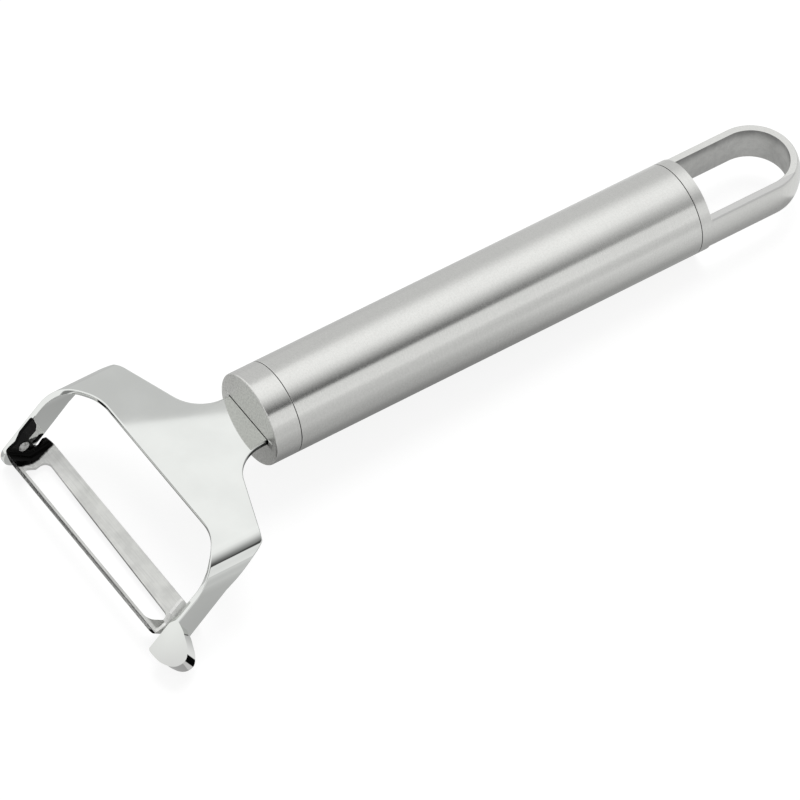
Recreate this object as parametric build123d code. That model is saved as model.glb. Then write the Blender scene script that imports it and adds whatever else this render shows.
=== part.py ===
from build123d import *
import os
from math import cos, radians, sin, tan

# Swivel-blade vegetable peeler, all stainless steel, in millimetres.
# The handle lies along Y with the middle of its tube at the origin. +Y runs to the hanging
# loop, -Y to the blade, +X to the eye remover's side, +Z up out of the head plate.

# Handle tube
handle_diameter = 19.0
tube_length = 92.2
tube_wall = 1.0
joint_edge_break = 0.15
spigot_clearance = 0.02

# Front plug, which closes the tube and holds the head's tang
plug_length = 5.8
plug_spigot_length = 15.0
plug_face_round = 0.45
slot_clearance = 0.05

# Rear cap with the hanging loop
cap_ring_length = 2.4
cap_spigot_length = 12.0
loop_thickness = 7.6
loop_reach = 15.9
eye_width = 14.5
loop_edge_break = 0.25
loop_relief = 0.2

# Head plate, bent down to an arm on each side
sheet_thickness = 1.2
neck_width = 13.2
neck_fillet = 8.2
head_width = 55.4
head_bend_radius = 5.4
plate_depth = 20.9
shoulder_depth = 7.0
shoulder_angle = 19.7
front_turn_inset = 7.3
front_turn_radius = 9.0
front_turn_angle = 35.4
arm_root_inset = 0.1
arm_root_radius = 3.0
tang_length = 13.0
tang_end_gap = 0.6

# Arms, seen from the side; the tip's centre is measured from the plug's face and the plate
arm_width = 6.4
arm_tip_reach = 34.5
arm_tip_drop = 14.3
arm_tip_round = 3.0
arm_front_angle = 45.2
arm_rear_angle = 46.6
arm_rear_blend = 17.0
arm_rear_lead_angle = 20.0
arm_rear_setback = 21.1
arm_rear_start_drop = 0.4

# Tang pin
tang_pin_diameter = 3.0
tang_pin_setback = 7.0
tang_pin_inset = 0.15

# Blade pivot, measured from the centre of the arm's tip
pivot_setback = 0.7
pivot_rise = 2.5
pivot_diameter = 1.6
pivot_clearance = 0.05
rivet_head_diameter = 2.3
rivet_head_height = 0.4
rivet_head_round = 0.3
rivet_side_play = 0.05
rivet_depth_in_lug = 1.8

# Blade: two bars in a shallow gutter with an ear at each end, measured from the pivot
blade_thickness = 0.65
blade_end_gap = 0.25
blade_bend_radius = 2.5
blade_front_reach = 3.37
blade_front_drop = 0.57
blade_front_angle = 36.0
blade_rear_reach = 6.6
blade_rear_drop = 3.2
blade_rear_angle = 5.0

# Slot of the blade; its rear side runs askew, so the guide bar is wider on the right
slot_front_inset = 0.9
slot_left_front_inset = 4.25
slot_left_inset = 3.35
slot_right_inset = 4.95
guide_bar_left = 3.1
guide_bar_right = 4.35
slot_corner = 1.5

# Ear of the blade: its corners as shares of its reach in front of the pivot and of the
# finger's height over it
ear_reach = 3.75
finger_height = 6.9
ear_corner = 0.45
ear_corner_shares = (
    (-1.00, 0.10),
    (-0.42, 0.27),
    (-0.16, 0.60),
    (0.58, 1.00),
    (0.78, 0.64),
    (0.74, 0.40),
    (0.30, 0.19),
    (0.68, -0.26),
    (0.90, -0.36),
    (1.22, -0.17),
    (1.44, -0.20),
    (1.66, -0.38),
)

# Eye remover, a solid D-shaped lug welded to the right arm over its front edge; the corners
# of its face are shares of its width and length
lug_angle = 31.5
lug_apex_setback = 4.36
lug_thickness = 4.2
lug_length = 7.3
lug_width = 8.0
lug_outline_shares = (
    (0.36, 0.07),
    (0.58, 0.16),
    (0.79, 0.26),
    (0.95, 0.40),
    (1.00, 0.51),
    (0.99, 0.64),
    (0.94, 0.75),
    (0.84, 0.85),
    (0.69, 0.93),
    (0.51, 0.985),
    (0.21, 1.00),
)
lug_foot_shares = (0.14, 0.97)

# Every cutting solid runs past the piece it cuts by this much
overrun = 1.0

# Places worked out from the sizes above
handle_radius = handle_diameter / 2
bore_radius = handle_radius - tube_wall
spigot_radius = bore_radius - spigot_clearance
tube_front_y = -tube_length / 2
tube_rear_y = tube_length / 2
plug_face_y = tube_front_y - plug_length
cap_step_y = tube_rear_y + cap_ring_length
tang_end_y = tube_front_y + tang_length
pin_y = tube_front_y + tang_pin_setback
plate_front_y = plug_face_y - plate_depth
sheet_half = sheet_thickness / 2
head_half = head_width / 2
arm_inner_x = head_half - sheet_thickness
arm_tip_y = plug_face_y - arm_tip_reach
arm_tip_z = -arm_tip_drop
head_end_y = arm_tip_y - arm_width
pivot_y = arm_tip_y + pivot_setback
pivot_z = arm_tip_z + pivot_rise
pivot_radius = pivot_diameter / 2
blade_half = arm_inner_x - blade_end_gap
ear_inner_x = blade_half - blade_thickness
blade_front_y = pivot_y - blade_front_reach
blade_rear_y = pivot_y + blade_rear_reach


def bar_along_y(radius, y_from, y_to):
    """A round bar along Y between two places."""
    start = Plane(origin=(0, y_from, 0), x_dir=(1, 0, 0), z_dir=(0, 1, 0))
    return extrude(start * Circle(radius), amount=y_to - y_from)


def bar_on_pivot(radius, x_from, x_to):
    """A round bar along the blade's pivot axis between two places."""
    start = Plane(origin=(x_from, pivot_y, pivot_z), x_dir=(0, 1, 0), z_dir=(1, 0, 0))
    return extrude(start * Circle(radius), amount=x_to - x_from)


def rounded_outline(corners):
    """A flat outline from corners of x, y and the radius of the round on that corner."""
    outline = make_face(Polyline(*[(x, y) for x, y, _ in corners], close=True))
    for x, y, radius in corners:
        if radius > 0:
            corner = outline.vertices().sort_by_distance((x, y, 0))[0]
            outline = fillet(corner, radius)
    return outline


def upright_prism(outline, half_height):
    """A prism from an outline of x and y, as deep above the plate's middle as below it."""
    return extrude(outline, amount=half_height, both=True)


def sideways_prism(outline, half_width):
    """A prism from an outline of y and z, as wide to the left as to the right."""
    return extrude(Plane.YZ * outline, amount=half_width, both=True)


def channel_section(half_width, thickness, bend_radius, depth):
    """Section of a strip bent down at both ends, its flat top on y = 0."""
    top = (Align.CENTER, Align.MAX)
    outer = Rectangle(2 * half_width, depth, align=top)
    outer = fillet(outer.vertices().group_by(Axis.Y)[-1], bend_radius)
    inner = Rectangle(2 * (half_width - thickness), depth, align=top)
    inner = fillet(inner.vertices().group_by(Axis.Y)[-1], bend_radius - thickness)
    return outer - Pos(0, -thickness) * inner


def make_handle_tube():
    """Round tube with its outer rims lightly broken."""
    body = bar_along_y(handle_radius, tube_front_y, tube_rear_y)
    body = chamfer(body.edges().filter_by(GeomType.CIRCLE), joint_edge_break)
    return body - bar_along_y(bore_radius, tube_front_y - overrun, tube_rear_y + overrun)


def make_front_plug():
    """Turned plug with a slot for the tang and a cross hole for the tang's pin."""
    head = bar_along_y(handle_radius, plug_face_y, tube_front_y)
    head = fillet(head.edges().filter_by(GeomType.CIRCLE).sort_by(Axis.Y)[0], plug_face_round)
    head = chamfer(head.edges().filter_by(GeomType.CIRCLE).sort_by(Axis.Y)[-1], joint_edge_break)
    spigot = bar_along_y(spigot_radius, tube_front_y, tube_front_y + plug_spigot_length)
    slot_end_y = tang_end_y + tang_end_gap
    slot = Box(
        neck_width + 2 * slot_clearance,
        slot_end_y - plug_face_y + overrun,
        sheet_thickness + 2 * slot_clearance,
        align=(Align.CENTER, Align.MAX, Align.CENTER),
    )
    plug = head + spigot - Pos(0, slot_end_y, 0) * slot
    return plug - Pos(0, pin_y, 0) * Cylinder(tang_pin_diameter / 2, handle_diameter)


def make_rear_loop_cap():
    """Cap with a spigot, a ring and a flat-sided hanging loop with a ball-shaped end."""
    ring = bar_along_y(handle_radius, tube_rear_y, cap_step_y)
    ring = chamfer(ring.edges().filter_by(GeomType.CIRCLE).sort_by(Axis.Y)[0], joint_edge_break)
    spigot = bar_along_y(spigot_radius, tube_rear_y - cap_spigot_length, tube_rear_y)
    end_y = cap_step_y + loop_reach
    lower = (Align.CENTER, Align.MIN, Align.CENTER)
    flats = Box(handle_diameter, loop_reach + handle_diameter, loop_thickness, align=lower)
    radius = handle_radius - loop_relief
    loop = bar_along_y(radius, cap_step_y, end_y) + Pos(0, end_y, 0) * Sphere(radius)
    loop = loop & (Pos(0, cap_step_y, 0) * flats)
    loop = chamfer(loop.edges().filter_by(Axis.Y), loop_edge_break)
    eye = Pos(0, cap_step_y, 0) * Box(eye_width, loop_reach, handle_diameter, align=lower)
    eye += Pos(0, end_y, 0) * Cylinder(eye_width / 2, handle_diameter)
    return spigot + ring + (loop - eye)


def plate_outline():
    """The right half of the sheet from above; the arm's part is left open to the front."""
    shoulder_y = plug_face_y - shoulder_depth
    neck_half = neck_width / 2
    side_x = head_half + overrun
    shoulder_drop = (side_x - neck_half) * tan(radians(shoulder_angle))
    root_x = arm_inner_x - arm_root_inset
    turn_x = arm_inner_x - front_turn_inset
    root_drop = (root_x - turn_x) * tan(radians(front_turn_angle))
    return rounded_outline(
        (
            (0, tang_end_y, 0),
            (neck_half, tang_end_y, 0),
            (neck_half, shoulder_y, neck_fillet),
            (side_x, shoulder_y - shoulder_drop, 0),
            (side_x, head_end_y, 0),
            (root_x, head_end_y, 0),
            (root_x, plate_front_y - root_drop, arm_root_radius),
            (turn_x, plate_front_y, front_turn_radius),
            (0, plate_front_y, 0),
        )
    )


def arm_outline():
    """The sheet from the side: tang and plate level, the arm sloping down to a round tip."""
    front = radians(arm_front_angle)
    rear = radians(arm_rear_angle)
    half = arm_width / 2
    top_z = sheet_half + overrun
    under_z = -sheet_half - joint_edge_break
    start_y = arm_tip_y + arm_rear_setback
    start_z = -arm_rear_start_drop
    nose_y = arm_tip_y - half * cos(front)
    nose_z = arm_tip_z - half * sin(front)
    front_y = nose_y - half * sin(front)
    front_z = nose_z + half * cos(front)
    rear_y = nose_y + half * sin(rear)
    rear_z = nose_z - half * cos(rear)
    rear_rise = tan(rear)
    lead_rise = tan(radians(arm_rear_lead_angle))
    blend_y = (start_z - rear_z + rear_y * rear_rise - start_y * lead_rise) / (rear_rise - lead_rise)
    blend_z = rear_z + (blend_y - rear_y) * rear_rise
    return rounded_outline(
        (
            (tang_end_y + overrun, top_z, 0),
            (front_y + (top_z - front_z) / tan(front), top_z, 0),
            (front_y, front_z, arm_tip_round),
            (rear_y, rear_z, arm_tip_round),
            (blend_y, blend_z, arm_rear_blend),
            (start_y + (under_z - start_z) / lead_rise, under_z, 0),
            (tang_end_y + overrun, under_z, 0),
        )
    )


def make_head_frame():
    """One bent sheet: tang, plate and two arms with a round tip and a pivot hole each."""
    depth = arm_tip_drop + arm_width
    section = channel_section(head_half, sheet_thickness, head_bend_radius, depth)
    across = Plane(origin=(0, tang_end_y, sheet_half), x_dir=(1, 0, 0), z_dir=(0, -1, 0))
    sheet = extrude(across * section, amount=tang_end_y - head_end_y)
    right = upright_prism(plate_outline(), depth)
    frame = sheet & (right + mirror(right, about=Plane.YZ)) & sideways_prism(arm_outline(), head_half)
    frame -= Pos(0, pin_y, 0) * Cylinder(tang_pin_diameter / 2, handle_diameter)
    return frame - bar_on_pivot(pivot_radius, -head_width, head_width)


def make_tang_pin():
    """Dowel that locks the tang in the plug; the tube's wall keeps it in."""
    length = 2 * (bore_radius - tang_pin_inset)
    return Pos(0, pin_y, 0) * Cylinder(tang_pin_diameter / 2, length)


def blade_fold():
    """Place of the fold between the two bars, on their upper side, as y and z."""
    fall = tan(radians(blade_front_angle))
    rise = tan(radians(blade_rear_angle))
    front_z = pivot_z - blade_front_drop
    rear_z = pivot_z - blade_rear_drop
    span = blade_rear_y - blade_front_y
    run = (front_z - rear_z + rise * span) / (fall + rise)
    return blade_front_y + run, front_z - fall * run


def gutter_leg(slope):
    """A straight strip with its ears along one leg of the gutter, through the fold."""
    fold_y, fold_z = blade_fold()
    depth = finger_height + arm_tip_drop
    section = channel_section(blade_half, blade_thickness, blade_bend_radius, depth)
    flipped = Rot(X=180) * (Pos(0, blade_thickness) * section)
    across = Plane(
        origin=(0, fold_y, fold_z),
        x_dir=(1, 0, 0),
        z_dir=(0, -cos(slope), -sin(slope)),
    )
    return extrude(across * flipped, amount=blade_rear_reach + blade_front_reach, both=True)


def ear_outline():
    """Blade and ear from the side, in y and z."""
    floor_z = pivot_z - blade_rear_drop - blade_bend_radius
    corners = [(pivot_y - ear_reach, floor_z, 0)]
    for run_share, rise_share in ear_corner_shares:
        y = pivot_y + run_share * ear_reach
        z = pivot_z + rise_share * finger_height
        corners.append((y, z, ear_corner))
    corners.append((blade_rear_y, pivot_z - blade_rear_drop, 0))
    corners.append((blade_rear_y, floor_z, 0))
    return rounded_outline(corners)


def slot_outline():
    """The blade's slot from above."""
    front_y = blade_front_y + slot_front_inset
    right_x = blade_half - slot_right_inset
    return rounded_outline(
        (
            (slot_left_front_inset - blade_half, front_y, slot_corner),
            (right_x, front_y, slot_corner),
            (right_x, blade_rear_y - guide_bar_right, slot_corner),
            (slot_left_inset - blade_half, blade_rear_y - guide_bar_left, slot_corner),
        )
    )


def make_swivel_blade():
    """Stamped blade: a narrow cutting bar, a wide guide bar and an ear at each end."""
    fold_y, fold_z = blade_fold()
    front = -radians(blade_front_angle)
    rear = radians(blade_rear_angle)
    middle = (front + rear) / 2
    mitre = Plane(origin=(0, fold_y, fold_z), x_dir=(1, 0, 0), z_dir=(0, cos(middle), sin(middle)))
    nose = Plane(
        origin=(0, blade_front_y, pivot_z - blade_front_drop),
        x_dir=(1, 0, 0),
        z_dir=(0, -cos(front), -sin(front)),
    )
    ahead = Box(
        2 * (blade_half - blade_bend_radius),
        4 * blade_thickness,
        ear_reach,
        align=(Align.CENTER, Align.CENTER, Align.MIN),
    )
    blade = split(gutter_leg(front), bisect_by=mitre, keep=Keep.BOTTOM)
    blade += split(gutter_leg(rear), bisect_by=mitre, keep=Keep.TOP)
    blade = (blade & sideways_prism(ear_outline(), head_half)) - nose * ahead
    blade -= upright_prism(slot_outline(), arm_tip_drop + blade_rear_drop + blade_bend_radius)
    return blade - bar_on_pivot(pivot_radius + pivot_clearance, -head_half, head_half)


def make_eye_remover(frame):
    """D-shaped lug fitted to the arm of the frame, with a blind bore for its rivet."""
    angle = radians(lug_angle)
    front = radians(arm_front_angle)
    half = arm_width / 2
    edge_y = arm_tip_y - half * (cos(front) + sin(front))
    edge_z = arm_tip_z - half * (sin(front) - cos(front))
    back = lug_apex_setback + half
    apex = (arm_inner_x, edge_y + back * cos(front), edge_z + back * sin(front))
    face = Plane(origin=apex, x_dir=(1, 0, 0), z_dir=(0, -sin(angle), cos(angle)))
    rim = [(x * lug_width, -y * lug_length) for x, y in lug_outline_shares]
    foot = (lug_foot_shares[0] * lug_width, -lug_foot_shares[1] * lug_length)
    outline = make_face([Spline((0, 0), *rim, foot), Line(foot, (0, 0))])
    lug = extrude(face * outline, amount=-lug_thickness)
    lug -= frame
    return lug - bar_on_pivot(pivot_radius, arm_inner_x, head_half + rivet_depth_in_lug)


def rivet_head(x_base, side):
    """Low round rivet head standing on x_base and growing towards that side."""
    head = bar_on_pivot(rivet_head_diameter / 2, x_base, x_base + side * rivet_head_height)
    rims = head.edges().filter_by(GeomType.CIRCLE).sort_by(Axis.X)
    return fillet(rims[-1] if side > 0 else rims[0], rivet_head_round)


def make_rivet_left():
    """Rivet through the left arm and ear, with a head at both ends."""
    inner_x = -ear_inner_x + rivet_side_play
    shank = bar_on_pivot(pivot_radius, -head_half, inner_x)
    return shank + rivet_head(-head_half, -1) + rivet_head(inner_x, 1)


def make_rivet_right():
    """Rivet set in the eye remover, through the right arm and ear, peened inside."""
    inner_x = ear_inner_x - rivet_side_play
    shank = bar_on_pivot(pivot_radius, inner_x, head_half + rivet_depth_in_lug)
    return shank + rivet_head(inner_x, -1)


def main():
    """Build every piece and write each one as a STEP file under its node's name."""
    frame = make_head_frame()
    pieces = {
        "handle_tube": make_handle_tube(),
        "front_plug": make_front_plug(),
        "rear_loop_cap": make_rear_loop_cap(),
        "head_frame": frame,
        "tang_pin": make_tang_pin(),
        "swivel_blade": make_swivel_blade(),
        "eye_remover": make_eye_remover(frame),
        "pivot_rivet_left": make_rivet_left(),
        "pivot_rivet_right": make_rivet_right(),
    }
    os.makedirs("parts", exist_ok=True)
    for name, piece in pieces.items():
        export_step(piece, os.path.join("parts", name + ".step"))


main()
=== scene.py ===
import logging
from dataclasses import dataclass
from enum import Enum
from math import atan2, ceil, copysign, cos, pi, radians, sin, tan

import bmesh
import bpy
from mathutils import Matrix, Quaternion, Vector


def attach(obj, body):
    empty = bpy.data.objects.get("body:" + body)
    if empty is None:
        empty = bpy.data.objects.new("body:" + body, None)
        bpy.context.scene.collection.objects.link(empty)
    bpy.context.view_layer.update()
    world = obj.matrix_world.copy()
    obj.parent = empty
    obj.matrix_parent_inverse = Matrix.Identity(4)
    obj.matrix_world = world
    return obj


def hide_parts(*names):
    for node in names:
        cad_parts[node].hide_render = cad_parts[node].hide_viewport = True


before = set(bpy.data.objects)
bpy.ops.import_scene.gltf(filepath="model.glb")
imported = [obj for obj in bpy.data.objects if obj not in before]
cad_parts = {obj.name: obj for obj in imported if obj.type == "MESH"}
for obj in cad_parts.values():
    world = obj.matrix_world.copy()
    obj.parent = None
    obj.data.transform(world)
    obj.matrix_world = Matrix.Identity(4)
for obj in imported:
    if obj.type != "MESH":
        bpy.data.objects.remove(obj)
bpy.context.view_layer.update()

# Sizes are real millimetres and become metres when a mesh is made.
MM = 0.001
# Points closer than this many millimetres count as one.
WELD = 0.002
# Edges sharper than this many degrees stay sharp, unless a piece says otherwise.
SHARP = 35.0
# Faces that meet at less than this many degrees count as one flat face.
FLAT = 1.0

log = logging.getLogger("peeler")

Point = tuple[float, float]
Corner = tuple[float, float, float]
# Left, right, front and rear border in millimetres, and a level of light.
Patch = tuple[float, float, float, float, float]
# The objects that Blender's own start-up scene holds.
START_UP = ("Cube", "Light", "Camera")


class Body(Enum):
    """The two bodies that the pieces ride on."""

    HANDLE = "handle"
    BLADE = "blade"


class Slot(Enum):
    """The record's material slots."""

    SATIN = "satin_steel"
    POLISHED = "polished_steel"
    BLADE = "blade_steel"


class Wire:
    """A number socket; sums written with it add their Math nodes."""

    def __init__(self, bench: "Bench", socket: bpy.types.NodeSocket) -> None:
        """Keep the socket and the bench whose tree it is in."""
        self.bench = bench
        self.socket = socket

    def _sum(self, operation: str, first: object, second: object) -> "Wire":
        """Add one Math node.

        Args:
            operation: The Math node's operation.
            first: Its first value, a number or a Wire.
            second: Its second value, a number or a Wire.

        Returns:
            The result as a Wire.
        """
        node = self.bench.node("ShaderNodeMath", {"operation": operation}, {0: first, 1: second})
        return Wire(self.bench, node.outputs[0])

    def __add__(self, other: object) -> "Wire":
        """This value plus another."""
        return self._sum("ADD", self, other)

    def __radd__(self, other: object) -> "Wire":
        """Another value plus this one."""
        return self._sum("ADD", other, self)

    def __sub__(self, other: object) -> "Wire":
        """This value less another."""
        return self._sum("SUBTRACT", self, other)

    def __rsub__(self, other: object) -> "Wire":
        """Another value less this one."""
        return self._sum("SUBTRACT", other, self)

    def __mul__(self, other: object) -> "Wire":
        """This value times another."""
        return self._sum("MULTIPLY", self, other)

    def __rmul__(self, other: object) -> "Wire":
        """Another value times this one."""
        return self._sum("MULTIPLY", other, self)

    def __truediv__(self, other: object) -> "Wire":
        """This value over another."""
        return self._sum("DIVIDE", self, other)

    def __pow__(self, other: object) -> "Wire":
        """This value to a power."""
        return self._sum("POWER", self, other)

    def __abs__(self) -> "Wire":
        """This value without its sign."""
        return self._sum("ABSOLUTE", self, 0.0)

    def __gt__(self, other: object) -> "Wire":
        """One where this value is the greater, else nought."""
        return self._sum("GREATER_THAN", self, other)

    def __lt__(self, other: object) -> "Wire":
        """One where this value is the smaller, else nought."""
        return self._sum("LESS_THAN", self, other)

    def over(self, other: object) -> "Wire":
        """The greater of this value and another."""
        return self._sum("MAXIMUM", self, other)

    def angle_from(self, other: object) -> "Wire":
        """The angle whose tangent is this value over another, in radians."""
        return self._sum("ARCTAN2", self, other)

    def eased(self, low: float, high: float) -> "Wire":
        """A smooth step.

        Args:
            low: The value up to which it is nought.
            high: The value from which it is one.

        Returns:
            The step.
        """
        node = self.bench.node(
            "ShaderNodeMapRange",
            {"interpolation_type": "SMOOTHSTEP", "clamp": True},
            {"Value": self, "From Min": low, "From Max": high},
        )
        return Wire(self.bench, node.outputs["Result"])


class Bench:
    """A node tree being wired up."""

    def __init__(self, tree: bpy.types.NodeTree) -> None:
        """Clear the tree and keep it."""
        self.tree = tree
        self.tree.nodes.clear()

    def node(self, kind: str, settings: dict | None = None, sockets: dict | None = None) -> bpy.types.Node:
        """Add one node.

        Args:
            kind: The node's type name.
            settings: Its properties; the key "stops" holds a ramp's places and colours.
            sockets: Values, Wires or sockets for its inputs, by name or number.

        Returns:
            The node.
        """
        node = self.tree.nodes.new(kind)
        for name, value in (settings or {}).items():
            if name == "stops":
                self._set_stops(node.color_ramp, value)
            else:
                setattr(node, name, value)
        for name, value in (sockets or {}).items():
            source = value.socket if isinstance(value, Wire) else value
            if isinstance(source, bpy.types.NodeSocket):
                self.tree.links.new(source, node.inputs[name])
            else:
                node.inputs[name].default_value = source
        return node

    def wire(self, socket: bpy.types.NodeSocket) -> Wire:
        """A number socket made ready for sums."""
        return Wire(self, socket)

    def axes(self) -> tuple[Wire, Wire, Wire]:
        """Read the place on the object in metres.

        Returns:
            Its x, y and z.
        """
        place = self.node("ShaderNodeTexCoord")
        split = self.node("ShaderNodeSeparateXYZ", {}, {0: place.outputs["Object"]})
        return self.wire(split.outputs[0]), self.wire(split.outputs[1]), self.wire(split.outputs[2])

    def grain(self, scales: Corner | float, detail: float) -> Wire:
        """Noise, which may be stretched along the axes.

        Args:
            scales: How many waves there are to a metre along x, y and z, or along all three.
            detail: The noise's detail.

        Returns:
            The noise's value, about 0.5 on average.
        """
        place = self.node("ShaderNodeTexCoord")
        factors = scales if isinstance(scales, tuple) else (scales, scales, scales)
        spread = self.node(
            "ShaderNodeVectorMath", {"operation": "MULTIPLY"}, {0: place.outputs["Object"], 1: factors}
        )
        noise = self.node(
            "ShaderNodeTexNoise", {}, {"Vector": spread.outputs[0], "Scale": 1.0, "Detail": detail}
        )
        return self.wire(noise.outputs["Fac"])

    def blend(self, share: Wire, first: object, second: object) -> bpy.types.NodeSocket:
        """Mix two colours.

        Args:
            share: How much of the second colour there is.
            first: The colour at nought, three numbers or a socket.
            second: The colour at one, three numbers or a socket.

        Returns:
            The mixed colour.
        """
        first, second = ((*tone, 1.0) if isinstance(tone, tuple) else tone for tone in (first, second))
        node = self.node("ShaderNodeMix", {"data_type": "RGBA"}, {"Factor": share, "A": first, "B": second})
        return node.outputs["Result"]

    @staticmethod
    def _set_stops(ramp: bpy.types.ColorRamp, stops: tuple) -> None:
        """Give a ramp its stops.

        Args:
            ramp: The ramp.
            stops: Each stop's place and grey level.
        """
        while len(ramp.elements) > 1:
            ramp.elements.remove(ramp.elements[0])
        for number, (place, tone) in enumerate(stops):
            stop = ramp.elements[0] if number == 0 else ramp.elements.new(place)
            stop.position = place
            stop.color = (tone, tone, tone, 1.0)


# A colour, how black the surface is and the painted glow that it adds.
Marks = tuple[bpy.types.NodeSocket, Wire, bpy.types.NodeSocket | None]
UNLIT: Corner = (0.0, 0.0, 0.0)
WHITE = (1.0, 1.0, 1.0, 1.0)


@dataclass
class Surface:
    """What a finish feeds its shader with."""

    colour: bpy.types.NodeSocket
    roughness: Wire
    height: Wire
    bump_depth: float
    metallic: Wire | float = 1.0
    bump_strength: float = 0.35
    # Where the surface is painted black: dark joints, and painted shade and painted dark reflections.
    black: Wire | None = None
    # Painted glow, added as emission though the steel is no lamp.
    painted_glow: bpy.types.NodeSocket | None = None


@dataclass(frozen=True)
class Finish:
    """A steel surface; each kind says how it varies."""

    name: str = "steel"
    colour: Corner = (0.84, 0.843, 0.82)
    dull_colour: Corner = (0.76, 0.763, 0.742)
    # Black for dark joints and for painted shade and painted dark reflections.
    joint_and_shade_black_colour: Corner = (0.004, 0.004, 0.004)

    def vary(self, bench: Bench) -> Surface:
        """Wire up what changes over the surface."""
        raise NotImplementedError

    def material(self) -> bpy.types.Material:
        """Make the finish as a material.

        Returns:
            The material.
        """
        material = bpy.data.materials.new(self.name)
        material.use_nodes = True
        bench = Bench(material.node_tree)
        surface = self.vary(bench)
        bump = bench.node(
            "ShaderNodeBump",
            {},
            {
                "Strength": surface.bump_strength,
                "Distance": surface.bump_depth * MM,
                "Height": surface.height,
            },
        )
        sockets = {
            "Base Color": surface.colour,
            "Metallic": surface.metallic,
            "Roughness": surface.roughness,
            "Normal": bump.outputs["Normal"],
        }
        # Painted glow goes in as emission.
        if surface.painted_glow:
            sockets |= {"Emission Color": surface.painted_glow, "Emission Strength": 1.0}
        shader = bench.node("ShaderNodeBsdfPrincipled", {}, sockets)
        # The black mix covers dark joints as well as painted shade and painted dark reflections.
        if surface.black:
            joint_and_shade_black = bench.node("ShaderNodeBsdfDiffuse", {}, {"Color": (*self.joint_and_shade_black_colour, 1.0)})
            shader = bench.node(
                "ShaderNodeMixShader", {}, {0: surface.black, 1: shader.outputs[0], 2: joint_and_shade_black.outputs[0]}
            )
        bench.node("ShaderNodeOutputMaterial", {}, {"Surface": shader.outputs[0]})
        return material


@dataclass(frozen=True)
class SatinSteel(Finish):
    """Turned steel with a fine brushing around the handle; the plug's face is duller, and painted shade
    darkens its slot, the wall of the loop's eye and the right strand's top.
    """

    name: str = "satin_brushed_steel"
    roughness: float = 0.14
    roughness_spread: float = 0.10
    brush_scales: Corner = (90.0, 9000.0, 90.0)
    speckle_scale: float = 2600.0
    cloud_scale: float = 60.0
    brush_share: float = 0.3
    cloud_share: float = 0.2
    speckle_share: float = 0.5
    wear_range: Point = (0.3, 0.7)
    bump_depth: float = 0.0013
    face_y: float = 51.9
    face_edge: Point = (0.3, 0.02)
    face_speckle: Point = (0.35, 0.62)
    face_colour: Corner = (0.64, 0.643, 0.62)
    face_dull_colour: Corner = (0.49, 0.492, 0.475)
    face_roughness: float = 0.28
    # The slot's walls get painted shade.
    slot_half: Point = (6.75, 0.80)
    slot_from_y: float = 40.0
    ring_y: float = 46.1
    ring_roughness: float = 0.10
    ring_length: float = 2.6
    joint_half: float = 0.075
    joint_black: float = 0.85
    strand_x: float = 7.2
    strand_z: float = 3.45
    # Painted shade: the right strand's top is darker than the left one's.
    strand_shade_colour: Corner = (0.68, 0.68, 0.67)
    eye_reach: float = 7.32
    eye_centre_y: float = 64.4
    eye_shade: Point = (1.2, 3.9)
    # Painted shade on the wall of the loop's eye.
    eye_wall_shade_colour: Corner = (0.34, 0.34, 0.335)
    eye_mottle: float = 700.0
    eye_mottle_least: float = 0.35
    eye_mottle_share: float = 0.6
    eye_shade_share: float = 0.8

    def vary(self, bench: Bench) -> Surface:
        """Wire up the brushing, the clouds, the plug's face, the dark joints and the painted shade in the
        slot, on the eye's wall and on the right strand's top.

        Args:
            bench: The material's bench.

        Returns:
            What the shader is fed with.
        """
        brush = bench.grain(self.brush_scales, detail=3.0)
        clouds = bench.grain(self.cloud_scale, detail=4.0)
        speckle = bench.grain(self.speckle_scale, detail=3.0)
        wear = brush * self.brush_share + clouds * self.cloud_share + speckle * self.speckle_share
        tint = bench.blend(wear.eased(*self.wear_range), self.dull_colour, self.colour)
        x, y, z = bench.axes()
        forward = 0.0 - y
        edge_start, edge_end = self.face_edge
        face = forward.eased((self.face_y - edge_start) * MM, (self.face_y - edge_end) * MM)
        face_tint = bench.blend(speckle.eased(*self.face_speckle), self.face_dull_colour, self.face_colour)
        tint = bench.blend(face, tint, face_tint)
        # Painted shade: the walls inside the slot are blackened.
        slot_x, slot_z = self.slot_half
        slot = (slot_x * MM > abs(x)) * (slot_z * MM > abs(z)) * (forward > self.slot_from_y * MM)
        tint = self.shade_eye(bench, tint, x, y, z)
        ring = y > self.ring_y * MM
        loop = y > (self.ring_y + self.ring_length) * MM
        # Painted shade on the right strand's top.
        strand = loop * (x > self.strand_x * MM) * (z > self.strand_z * MM)
        tint = bench.blend(strand, tint, self.strand_shade_colour)
        joint = abs(abs(y) - self.ring_y * MM) < self.joint_half * MM
        roughness = wear * self.roughness_spread + self.roughness
        roughness = roughness + ring * self.ring_roughness + face * self.face_roughness
        return Surface(tint, roughness, wear, self.bump_depth, black=slot.over(joint * self.joint_black))

    def shade_eye(
        self, bench: Bench, tint: bpy.types.NodeSocket, x: Wire, y: Wire, z: Wire
    ) -> bpy.types.NodeSocket:
        """Paint shade on the wall of the loop's eye, most under its upper edge; a random mottle darkens it
        too.

        Args:
            bench: The material's bench.
            tint: The colour so far.
            x: The place's x in metres.
            y: The place's y in metres.
            z: The place's z in metres.

        Returns:
            The colour with the painted shade on the wall.
        """
        beyond = (y - self.eye_centre_y * MM).over(0.0)
        reach = (x * x + beyond * beyond) ** 0.5
        wall = (self.eye_reach * MM > reach) * (y > (self.ring_y + self.ring_length) * MM)
        mottle = bench.grain(self.eye_mottle, detail=4.0) - self.eye_mottle_least
        low, high = self.eye_shade
        # The height term is painted shade; the mottle is random tone.
        share = z.eased(low * MM, high * MM) * self.eye_shade_share + mottle * self.eye_mottle_share
        return bench.blend(wall * share.over(0.0), tint, self.eye_wall_shade_colour)


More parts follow.
